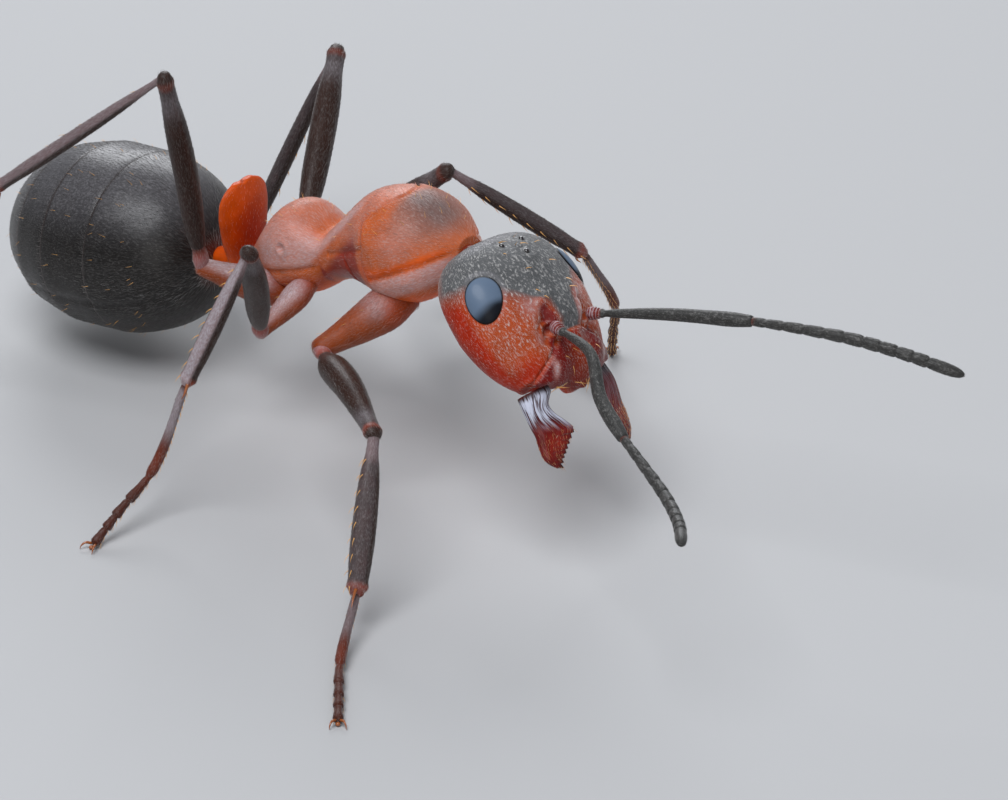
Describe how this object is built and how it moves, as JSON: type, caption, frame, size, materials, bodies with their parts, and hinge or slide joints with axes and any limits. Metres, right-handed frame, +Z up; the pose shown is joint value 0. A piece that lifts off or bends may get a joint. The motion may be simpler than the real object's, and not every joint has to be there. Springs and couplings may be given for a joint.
{
  "type": "red wood ant model",
  "caption": "Life-size still model of a red wood ant worker, standing on its feet with its jaws open and both feelers raised.",
  "frame": {"origin": "on the floor under the middle of the model's bounding box", "axes": "+X is the way the ant faces, +Y is its left side, +Z is up"},
  "size_m": [0.013, 0.0076, 0.0044],
  "materials": {
    "red_shell": "orange-red shell with a fine silky down, satin",
    "dark_shell": "grey-black shell with a fine silky down, satin",
    "eye": "smooth, close-set facets",
    "jaw": "dark red, striated and glossy",
    "leg_shell": "dark brown shell, satin to glossy"
  },
  "bodies": {
    "root": {"head": "red_shell", "eye_r": "eye", "eye_l": "eye", "jaw_r": "jaw", "jaw_l": "jaw", "pronotum": "red_shell", "mesothorax": "red_shell", "propodeum": "red_shell", "petiole": "red_shell", "gaster_1": "dark_shell", "gaster_2": "dark_shell", "gaster_3": "dark_shell", "gaster_4": "dark_shell", "gaster_5": "dark_shell", "scape_r": "dark_shell", "scape_l": "dark_shell", "whip_r": "dark_shell", "whip_l": "dark_shell", "leg_r1_coxa": "red_shell", "leg_r1_femur": "leg_shell", "leg_r1_tibia": "leg_shell", "leg_r1_tarsus": "leg_shell", "leg_r2_coxa": "red_shell", "leg_r2_femur": "leg_shell", "leg_r2_tibia": "leg_shell", "leg_r2_tarsus": "leg_shell", "leg_r3_coxa": "red_shell", "leg_r3_femur": "leg_shell", "leg_r3_tibia": "leg_shell", "leg_r3_tarsus": "leg_shell", "leg_l1_coxa": "red_shell", "leg_l1_femur": "leg_shell", "leg_l1_tibia": "leg_shell", "leg_l1_tarsus": "leg_shell", "leg_l2_coxa": "red_shell", "leg_l2_femur": "leg_shell", "leg_l2_tibia": "leg_shell", "leg_l2_tarsus": "leg_shell", "leg_l3_coxa": "red_shell", "leg_l3_femur": "leg_shell", "leg_l3_tibia": "leg_shell", "leg_l3_tarsus": "leg_shell"}
  },
  "joints": []
}
